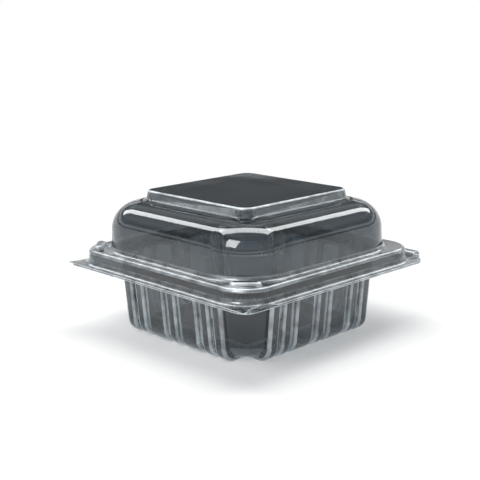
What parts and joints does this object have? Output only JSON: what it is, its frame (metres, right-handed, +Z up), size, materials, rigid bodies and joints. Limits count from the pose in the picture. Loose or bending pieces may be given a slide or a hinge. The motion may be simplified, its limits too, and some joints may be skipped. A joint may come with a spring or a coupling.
{
  "type": "hinged clear food pack",
  "caption": "Square hinged clear plastic food pack: fluted tray, domed lid with a raised roof panel, snap ledge, opening ears and a folded hinge bead.",
  "frame": {"origin": "on the plane that the tray's feet stand on, below the middle of the closed pack's plan", "axes": "+Z up, -Y to the opening side with its ears, +Y to the hinge bead, which runs along X"},
  "size_m": [0.1274, 0.133, 0.07],
  "materials": {
    "clear_sheet": "gloss"
  },
  "bodies": {
    "tray": {"base_tray": "clear_sheet"},
    "lid": {"lid": "clear_sheet"}
  },
  "joints": [
    {"name": "lid_hinge", "type": "hinge", "parent": "tray", "child": "lid", "pos_m": [0, 0.06665, 0.03322], "axis": [-1, 0, 0], "range_deg": [0, 174]}
  ]
}
